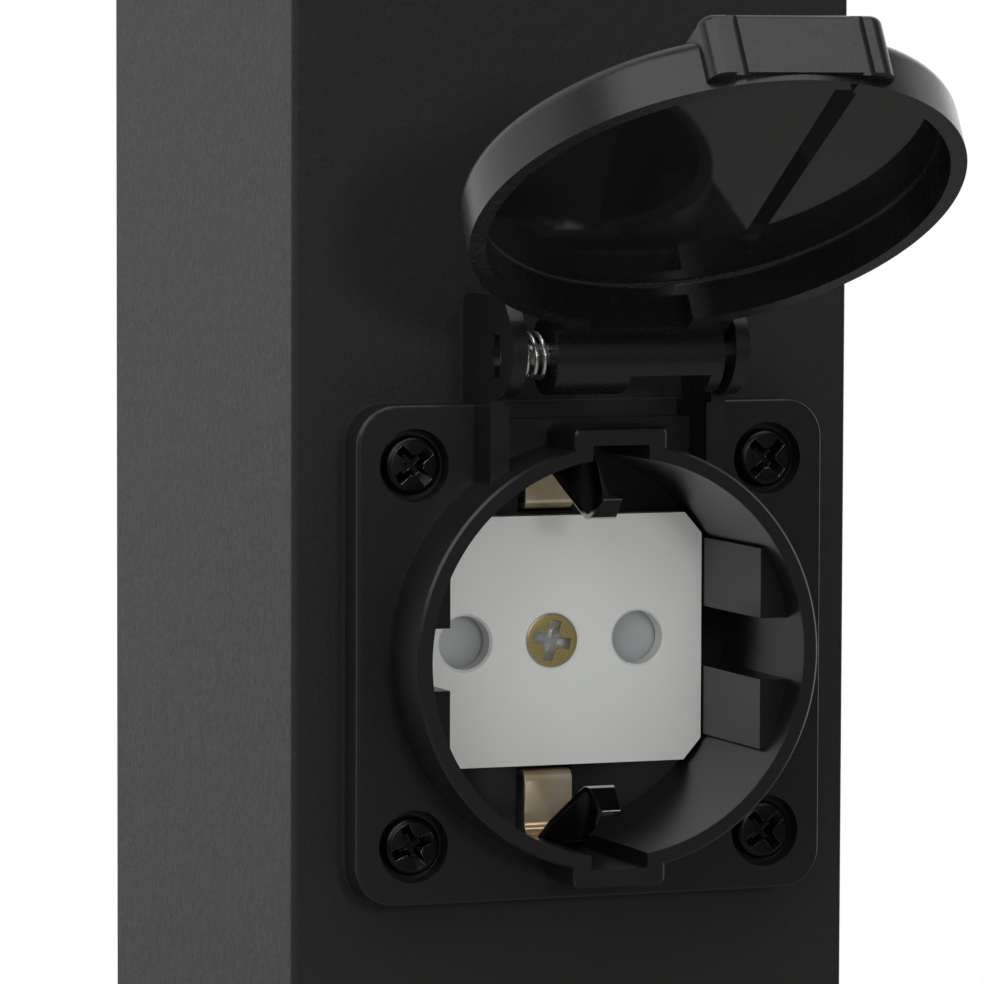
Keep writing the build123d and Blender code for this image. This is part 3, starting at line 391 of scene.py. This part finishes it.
def within(tree, place, centre, axis, radius):
    """1 where a point is nearer than a radius to the line through centre along axis, else 0."""
    offset = add(tree, "ShaderNodeVectorMath", {"operation": "SUBTRACT"}, {0: place, 1: tuple(centre)})
    inputs = {0: offset.outputs[0], 1: tuple(axis)}
    aside = add(tree, "ShaderNodeVectorMath", {"operation": "CROSS_PRODUCT"}, inputs)
    distance = add(tree, "ShaderNodeVectorMath", {"operation": "LENGTH"}, {0: aside.outputs[0]})
    near = add(tree, "ShaderNodeMath", {"operation": "LESS_THAN"}, {0: distance.outputs["Value"], 1: radius})
    return near.outputs[0]


def before(tree, place, centre, axis, reach):
    """1 where a point lies less far than reach from centre along axis, else 0."""
    offset = add(tree, "ShaderNodeVectorMath", {"operation": "SUBTRACT"}, {0: place, 1: tuple(centre)})
    inputs = {0: offset.outputs[0], 1: tuple(axis)}
    along = add(tree, "ShaderNodeVectorMath", {"operation": "DOT_PRODUCT"}, inputs)
    near = add(tree, "ShaderNodeMath", {"operation": "LESS_THAN"}, {0: along.outputs["Value"], 1: reach})
    return near.outputs[0]


def well_zone(tree, place):
    """The recess that takes the plug."""
    round_part = within(tree, place, socket_centre, (0, 1, 0), well_core_radius)
    behind_rim = before(tree, place, socket_centre, (0, -1, 0), well_core_front)
    return add(tree, "ShaderNodeMath", {"operation": "MULTIPLY"}, {0: round_part, 1: behind_rim}).outputs[0]


def lid_zone(tree, place):
    """The flat floor inside the lid."""
    round_part = within(tree, place, lid_centre, lid_forward, lid_floor_radius)
    under_face = before(tree, place, lid_centre, lid_forward, lid_floor_height)
    return add(tree, "ShaderNodeMath", {"operation": "MULTIPLY"}, {0: round_part, 1: under_face}).outputs[0]


# %% Black plastics and rubber
finishes["housing_plastic"] = surface(
    "housing_polyamide", "0D0D0D", "111111", 12, (0.3, 0.38), 0.35, 0.006, polished=(well_zone, 0.28)
)
finishes["lid_plastic"] = surface(
    "lid_abs", "0F0F0F", "131313", 12, (0.24, 0.3), 0.5, 0.003, polished=(lid_zone, 0.05)
)
finishes["seal_rubber"] = surface("seal_epdm_rubber", "131313", "191919", 8, (0.7, 0.85), 0.3, 0.01)
print("lid centre when open", [round(v, 4) for v in lid_centre])

# %% [markdown]
# The contact cover and the shutter are light grey plastics, pressed or moulded hot. They are smooth,
# slightly cloudy, and colder in tone than the rest. The carrier and the terminal block are pressed from a
# dark grey powder that sets hard, and they are duller.

# %% Grey plastics
finishes["cover_plastic"] = surface("cover_urea_moulding", "E2E4E1", "EAECE9", 9, (0.32, 0.42), 0.6, 0.004)
finishes["shutter_plastic"] = surface("shutter_polyamide", "A9ACAE", "B0B3B4", 6, (0.35, 0.45), 0.5, 0.004)
finishes["carrier_plastic"] = surface("carrier_thermoset", "4A4B4C", "555657", 8, (0.4, 0.55), 0.4, 0.006)
print(len(finishes), "finishes so far")

# %% [markdown]
# The small metal pieces are plated or drawn. The black screws are blackened steel, dark and satin, with
# bright steel where their edges are rubbed. The steel fittings have a bright zinc plate, a pale and
# slightly cloudy grey. The springs are drawn stainless wire, smooth and bright, and the contacts are bare
# brass, warm and a little dull. The centre screw is zinc with a yellow passivation that turns a little
# green and pink in places. Its recess is bare where a driver has scraped it, and a ring at its rim is
# painted near white as a painted highlight, where the rounded rim catches the light. The earth clip is
# brass under nickel, which has yellowed on its base, and plugs keep its arms bright.

# %% Zones of bare metal and of a painted highlight
recess_radius = 2.3 * MM
recess_start = -0.12 * MM
rim_radius = 2.66 * MM
clip_base_depth = 8 * MM
screw_face = Vector((0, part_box("centre_screw")[0][1], socket_rise))
clip_base = Vector((0, flange_front + clip_base_depth, 0))


def bare_recess_and_highlit_rim_zone(tree, place):
    """The centre screw's recess, scraped to plain metal by the driver, and its rim, painted light as a
    painted highlight.
    """
    inner = within(tree, place, screw_face, (0, 1, 0), recess_radius)
    sunk = before(tree, place, screw_face, (0, -1, 0), recess_start)
    recess = add(tree, "ShaderNodeMath", {"operation": "MULTIPLY"}, {0: inner, 1: sunk}).outputs[0]
    flat = within(tree, place, screw_face, (0, 1, 0), rim_radius)
    rim = add(tree, "ShaderNodeMath", {"operation": "SUBTRACT"}, {0: 1.0, 1: flat}).outputs[0]
    return add(tree, "ShaderNodeMath", {"operation": "MAXIMUM"}, {0: recess, 1: rim}).outputs[0]


def arm_zone(tree, place):
    """The sprung arms of the earth clip, which plugs rub bright."""
    return before(tree, place, clip_base, (0, 1, 0), 0.0)


# %% Metals
finishes["black_screws"] = surface(
    "blackened_steel", "262626", "363636", 2, (0.25, 0.4), 0.2, 0.003, 1.0, edge_wear_and_glint=("B4B4B0", 0.09, 0.9)
)
finishes["plain_steel"] = surface("bright_zinc_plate", "B9BBBB", "CBCCCB", 4, (0.25, 0.4), 0.3, 0.004, 1.0)
finishes["spring_steel"] = surface(
    "drawn_stainless_wire", "E6E6E2", "F2F2EE", 1, (0.22, 0.32), 0.1, 0.001, 1.0
)
# The near-white ring at this screw's rim is a painted highlight.
finishes["yellow_zinc"] = surface(
    "yellow_passivated_zinc",
    "C09A62",
    "A8AC70",
    1.5,
    (0.25, 0.36),
    0.2,
    0.003,
    0.5,
    edge_wear_and_glint=("F0EEE6", 0.1, 1.2),
    polished=(bare_recess_and_highlit_rim_zone, 0.34),
    bare_and_highlight=(bare_recess_and_highlit_rim_zone, "F0F0EC"),
)
# The near-white on the clip's edges is a painted highlight.
finishes["nickel_brass"] = surface(
    "nickel_plated_brass",
    "D6A93A",
    "FAF8F0",
    2.6,
    (0.14, 0.24),
    0.3,
    0.004,
    0.72,
    edge_wear_and_glint=("F6F4EE", 0.14, 2.5),
    polished=(arm_zone, 0.07),
    bare_and_highlight=(arm_zone, "DADAD6"),
)
finishes["contact_brass"] = surface("bare_brass", "B8923F", "C9A458", 3, (0.22, 0.35), 0.3, 0.003, 1.0)
print(len(finishes), "finishes so far")

# %% [markdown]
# The wires have extruded PVC insulation with a slight gloss. The earth's is green, with a yellow stripe
# along each side. The stripe is where the surface faces sideways, which follows a wire that runs up or
# down.

# %% Wire insulation
finishes["brown_insulation"] = surface("brown_pvc_insulation", "5A3524", "643C2A", 5, (0.35, 0.5), 0.4, 0.004)
finishes["blue_insulation"] = surface("blue_pvc_insulation", "24509A", "2B5AA8", 5, (0.35, 0.5), 0.4, 0.004)
finishes["earth_insulation"] = surface(
    "green_yellow_pvc_insulation", "3F8A35", "4A9440", 5, (0.35, 0.5), 0.4, 0.004, stripe="D8C43A"
)

# %% [markdown]
# The record names a material slot for each CAD node, and each slot has its finish here. The CAD meshes
# themselves stay as they are, because the CAD model already has the real shapes.

# %% Give each CAD node its finish
subparts = frame["record"]["subparts"]
for row in subparts:
    mesh = nodes[row["node"]].data
    mesh.materials.clear()
    mesh.materials.append(finishes[row["material_slot"]])
print(len(finishes), "finishes on", len(subparts), "nodes")

# %% [markdown]
# ## Screws
#
# A screw's blank is turned on a lathe or headed from wire, its thread is rolled, and its cross recess is
# punched by a tapered tool. So a profile is spun round an axis here, and Geometry Nodes cut the recess with
# three tapered tools and set one screw at each place, each with its driver slot left at its own angle. The
# thread is drawn as rings, because a helix would look the same inside its hole.

# %% The blank of a screw
tip_taper = 0.5
plain_shank = 2.5
pan_pitch, pan_thread_depth = 0.9, 0.25
sunk_pitch, sunk_thread_depth = 0.8, 0.22
sunk_shank = 0.6
sunk_edge = 0.3
pan_steps, sunk_steps = 6, 4


def thread(radius, start, end, pitch, depth):
    """The profile of a rolled thread, from its tip up to its last turn, as radius and height."""
    points = []
    for i in range(int((end - start) / pitch)):
        points += [(radius - depth, start + i * pitch), (radius, start + (i + 0.5) * pitch)]
    return points


def arc(across, height, radius, steps, first=0):
    """Points of a quarter circle from its widest point up to its top, the widest left out by first=1."""
    angles = [math.pi / 2 * i / steps for i in range(first, steps + 1)]
    return [(across + radius * math.cos(angle), height + radius * math.sin(angle)) for angle in angles]


def pan_profile(radius, length, head_radius, head_height, head_round):
    """A pan-head screw that points down, the underside of its head at height 0."""
    points = [(radius - tip_taper, -length)]
    points += thread(radius, tip_taper - length, -plain_shank - tip_taper, pan_pitch, pan_thread_depth)
    points += [(radius, -plain_shank), (radius, 0), (head_radius, 0)]
    return points + arc(head_radius - head_round, head_height - head_round, head_round, pan_steps)


def sunk_profile(radius, length, head_radius, head_height):
    """A countersunk screw that points down, its flat face at height 0."""
    points = [(radius - tip_taper, -length)]
    points += thread(radius, tip_taper - length, -head_height - sunk_shank, sunk_pitch, sunk_thread_depth)
    points += [(radius, -head_height), (head_radius, -sunk_edge)]
    return points + arc(head_radius - sunk_edge, -sunk_edge, sunk_edge, sunk_steps, first=1)


def blank(name, profile, segments=40):
    """A closed turned shape. The profile is given as radius and height, in millimetres."""
    shape = bmesh.new()
    rings = []
    for radius, height in profile:
        angles = [2 * math.pi * i / segments for i in range(segments)]
        points = [Vector((radius * math.cos(a), radius * math.sin(a), height)) * MM for a in angles]
        rings.append([shape.verts.new(point) for point in points])
    for low, high in zip(rings, rings[1:]):
        for i in range(segments):
            j = (i + 1) % segments
            shape.faces.new((low[i], low[j], high[j], high[i]))
    shape.faces.new(list(reversed(rings[0])))
    shape.faces.new(rings[-1])
    mesh = bpy.data.meshes.new(name)
    shape.to_mesh(mesh)
    shape.free()
    obj = bpy.data.objects.new(name, mesh)
    bpy.context.scene.collection.objects.link(obj)
    return obj


# %% [markdown]
# The tree has the recess's sizes as its inputs. A cone with four sides, turned by 45 degrees and squeezed,
# is one wing of the tool. The same wing turned by a right angle is the other, and a round cone opens the
# middle. The cutter's top is stretched a little past the head's face, so that it cuts cleanly through.

# %% The tree that punches and places screws
wing_taper = 0.5
pit_taper = 0.3
overshoot_share = 1.02
quarter_turn = (0, 0, math.radians(90))
eighth_turn = (0, 0, math.radians(45))


def screw_tree():
    """Geometry Nodes that cut a cross recess in a blank and set it at each point with the point's turn."""
    tree = bpy.data.node_groups.new("punched_screws", "GeometryNodeTree")
    tree.interface.new_socket("Places", in_out="INPUT", socket_type="NodeSocketGeometry")
    tree.interface.new_socket("Blank", in_out="INPUT", socket_type="NodeSocketObject")
    for label in ("Recess span", "Recess width", "Recess depth", "Head top"):
        tree.interface.new_socket(label, in_out="INPUT", socket_type="NodeSocketFloat")
    tree.interface.new_socket("Finish", in_out="INPUT", socket_type="NodeSocketMaterial")
    tree.interface.new_socket("Screws", in_out="OUTPUT", socket_type="NodeSocketGeometry")
    given = add(tree, "NodeGroupInput").outputs
    whole = add(tree, "GeometryNodeObjectInfo", inputs={"Object": given["Blank"]}).outputs["Geometry"]
    corner = 1 / math.sqrt(2)
    shares = {"Recess span": corner, "Recess width": corner, "Recess depth": overshoot_share}
    long, wide, tall = [
        add(tree, "ShaderNodeMath", {"operation": "MULTIPLY"}, {0: given[label], 1: share}).outputs[0]
        for label, share in shares.items()
    ]
    floor_height = add(
        tree, "ShaderNodeMath", {"operation": "SUBTRACT"}, {0: given["Head top"], 1: given["Recess depth"]}
    )
    at = add(tree, "ShaderNodeCombineXYZ", inputs={"Z": floor_height.outputs[0]}).outputs[0]
    wing_size = add(tree, "ShaderNodeCombineXYZ", inputs={"X": long, "Y": wide, "Z": tall}).outputs[0]
    inputs = {"Vertices": 4, "Radius Top": 1.0, "Radius Bottom": wing_taper, "Depth": 1.0}
    tool = add(tree, "GeometryNodeMeshCone", inputs=inputs).outputs["Mesh"]
    inputs = {"Geometry": tool, "Rotation": eighth_turn}
    squared = add(tree, "GeometryNodeTransform", inputs=inputs).outputs[0]
    inputs = {"Geometry": squared, "Translation": at, "Scale": wing_size}
    wing = add(tree, "GeometryNodeTransform", inputs=inputs).outputs[0]
    inputs = {"Geometry": wing, "Rotation": quarter_turn}
    other_wing = add(tree, "GeometryNodeTransform", inputs=inputs).outputs[0]
    inputs = {"Vertices": 16, "Radius Top": 1.0, "Radius Bottom": pit_taper, "Depth": 1.0}
    pit = add(tree, "GeometryNodeMeshCone", inputs=inputs).outputs["Mesh"]
    inputs = {"X": given["Recess width"], "Y": given["Recess width"], "Z": tall}
    pit_size = add(tree, "ShaderNodeCombineXYZ", inputs=inputs).outputs[0]
    inputs = {"Geometry": pit, "Translation": at, "Scale": pit_size}
    centre_pit = add(tree, "GeometryNodeTransform", inputs=inputs).outputs[0]
    settings = {"operation": "DIFFERENCE", "solver": "EXACT"}
    punched = add(tree, "GeometryNodeMeshBoolean", settings, {"Mesh 1": whole})
    for cutter in (wing, other_wing, centre_pit):
        tree.links.new(cutter, punched.inputs["Mesh 2"])
    turn = add(tree, "GeometryNodeInputNamedAttribute", {"data_type": "FLOAT_VECTOR"}, {"Name": "turn"})
    rotation = add(tree, "FunctionNodeEulerToRotation", inputs={"Euler": turn.outputs["Attribute"]})
    placed = add(
        tree,
        "GeometryNodeInstanceOnPoints",
        inputs={
            "Points": given["Places"],
            "Instance": punched.outputs["Mesh"],
            "Rotation": rotation.outputs["Rotation"],
        },
    )
    real = add(tree, "GeometryNodeRealizeInstances", inputs={"Geometry": placed.outputs["Instances"]})
    inputs = {"Geometry": real.outputs["Geometry"], "Material": given["Finish"]}
    finished = add(tree, "GeometryNodeSetMaterial", inputs=inputs)
    add(tree, "NodeGroupOutput", inputs={"Screws": finished.outputs["Geometry"]})
    return tree


punched_screws = screw_tree()
identifiers = {item.name: item.identifier for item in punched_screws.interface.items_tree}
print("screw tree with inputs", ", ".join(identifiers))

# %% Sets of screws
crease_angle = math.radians(28)


def screw_set(name, node, screw_blank, places, recess, top, slot):
    """One piece that stands for a CAD node. A place is a point and the screw's turn as an Euler angle."""
    points = bpy.data.meshes.new(name + "_places")
    points.from_pydata([place for place, turn in places], [], [])
    turns = points.attributes.new("turn", "FLOAT_VECTOR", "POINT")
    for item, (place, turn) in zip(turns.data, places):
        item.vector = turn
    carrier = bpy.data.objects.new(name + "_places", points)
    bpy.context.scene.collection.objects.link(carrier)
    modifier = carrier.modifiers.new("screws", "NODES")
    modifier.node_group = punched_screws
    labels = ("Recess span", "Recess width", "Recess depth", "Head top")
    for label, value in zip(labels, (*recess, top)):
        modifier[identifiers[label]] = value * MM
    modifier[identifiers["Blank"]] = screw_blank
    modifier[identifiers["Finish"]] = finishes[slot]
    evaluated = carrier.evaluated_get(bpy.context.evaluated_depsgraph_get())
    mesh = bpy.data.meshes.new_from_object(evaluated)
    mesh.name = name
    mesh.shade_smooth()
    mesh.set_sharp_from_angle(angle=crease_angle)
    carrier.modifiers.remove(modifier)
    bpy.data.objects.remove(carrier)
    bpy.data.objects.remove(screw_blank)
    piece = bpy.data.objects.new(name, mesh)
    bpy.context.scene.collection.objects.link(piece)
    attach(piece, "post")
    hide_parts(node)
    print(name, len(places), "screws,", len(mesh.polygons), "faces")


def facing_front(slot_turn):
    """The Euler angle that points a screw's head to the front, its cross turned by some degrees."""
    return (math.radians(90), -math.radians(slot_turn), 0)


# %% [markdown]
# The four flange screws are black pan heads, and the turns of their crosses are those that the photograph
# shows. The centre screw is countersunk in the cover. Sizes are in millimetres. A recess is given by its
# span from end to end, the width of a wing and its depth.

# %% Flange screws
low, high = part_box("flange_screws")
head_radius, head_height, head_round = 2.95, 1.8, 0.7
shank_radius, shank_length = 1.9, 12.0
across = high[0] / MM - head_radius
seat = low[1] / MM + head_height
flange_turns = {(-1, 1): 41, (1, 1): 46, (-1, -1): 23, (1, -1): 39}
flange_places = [
    (Vector((i * across, seat, socket_rise / MM + j * across)) * MM, facing_front(turn))
    for (i, j), turn in flange_turns.items()
]
flange_profile = pan_profile(shank_radius, shank_length, head_radius, head_height, head_round)
flange_blank = blank("flange_screw_blank", flange_profile)
flange_recess = (4.6, 1.05, 1.3)
screw_set(
    "flange_screw_set",
    "flange_screws",
    flange_blank,
    flange_places,
    flange_recess,
    head_height,
    "black_screws",
)

# %% Centre screw
low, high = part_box("centre_screw")
length = (high[1] - low[1]) / MM
centre_radius, centre_head_radius, centre_head_height = 1.5, 2.9, 1.5
centre_profile = sunk_profile(centre_radius, length, centre_head_radius, centre_head_height)
centre_turn = -13
centre_place = (screw_face, facing_front(centre_turn))
centre_recess = (4.3, 1.15, 1.3)
centre_blank = blank("centre_screw_blank", centre_profile)
screw_set("cover_screw", "centre_screw", centre_blank, [centre_place], centre_recess, 0, "yellow_zinc")

# %% Screws that hold the foot and the cap
end_radius, end_head_radius, end_head_height = 1.7, 3.9, 2.0
end_recess = (5.0, 1.1, 1.3)
turn_step = 37
for node, facing_down, first_turn in (("foot_screws", True, 10), ("cap_screws", False, 34)):
    low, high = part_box(node)
    length = (high[2] - low[2]) / MM
    reach = high[0] - end_head_radius * MM
    face_height = low[2] if facing_down else high[2]
    tip = math.radians(180) if facing_down else 0
    places = [
        (
            Vector((i * reach, j * reach, face_height)),
            (tip, 0, math.radians(first_turn + turn_step * (i + 2 * j))),
        )
        for i in (-1, 1)
        for j in (-1, 1)
    ]
    end_profile = sunk_profile(end_radius, length, end_head_radius, end_head_height)
    end_blank = blank(node + "_blank", end_profile)
    name = node.replace("_screws", "_screw_set")
    screw_set(name, node, end_blank, places, end_recess, 0, "plain_steel")

# %% [markdown]
# ## Floor
#
# A round pale floor under the foot plate keeps the post's shadow. Its outer part fades to the white of the
# background, so that no edge shows. Mirror rays see it a mid grey instead, a painted shade, so the glossy
# black plastic mirrors it darker, as it mirrors the room.

# %% Floor
floor_radius = 0.6
floor_drop = 0.2 * MM
fade_start = 0.2
fade_end = 0.57
floor_mesh = bpy.data.meshes.new("floor")
shape = bmesh.new()
bmesh.ops.create_circle(shape, cap_ends=True, segments=96, radius=floor_radius)
shape.to_mesh(floor_mesh)
shape.free()
floor_mesh.transform(Matrix.Translation((0, 0, -floor_drop)))
floor = bpy.data.objects.new("floor", floor_mesh)
bpy.context.scene.collection.objects.link(floor)
floor_finish = bpy.data.materials.new("pale_floor")
floor_finish.use_nodes = True
tree = floor_finish.node_tree
tree.nodes.clear()
place = add(tree, "ShaderNodeTexCoord").outputs["Object"]
distance = add(tree, "ShaderNodeVectorMath", {"operation": "LENGTH"}, {0: place}).outputs["Value"]
fade = add(
    tree,
    "ShaderNodeMapRange",
    {"interpolation_type": "SMOOTHSTEP"},
    {"Value": distance, "From Min": fade_start, "From Max": fade_end},
).outputs["Result"]
ray = add(tree, "ShaderNodeLightPath").outputs
hidden = add(tree, "ShaderNodeMath", {"operation": "MULTIPLY"}, {0: fade, 1: ray["Is Camera Ray"]}).outputs[0]
# The mid grey that mirror rays see is a painted shade.
tone = add(
    tree,
    "ShaderNodeMix",
    {"data_type": "RGBA"},
    {"Factor": ray["Is Glossy Ray"], "A": colour("E8E8E6"), "B": colour("7C7C7A")},
).outputs["Result"]
matt = add(tree, "ShaderNodeBsdfDiffuse", inputs={"Color": tone}).outputs[0]
white = add(tree, "ShaderNodeEmission", inputs={"Color": (1, 1, 1, 1), "Strength": 1.0}).outputs[0]
blend = add(tree, "ShaderNodeMixShader", inputs={0: hidden, 1: matt, 2: white})
add(tree, "ShaderNodeOutputMaterial", inputs={"Surface": blend.outputs[0]})
floor_mesh.materials.append(floor_finish)
print("floor", floor_radius, "m in radius")
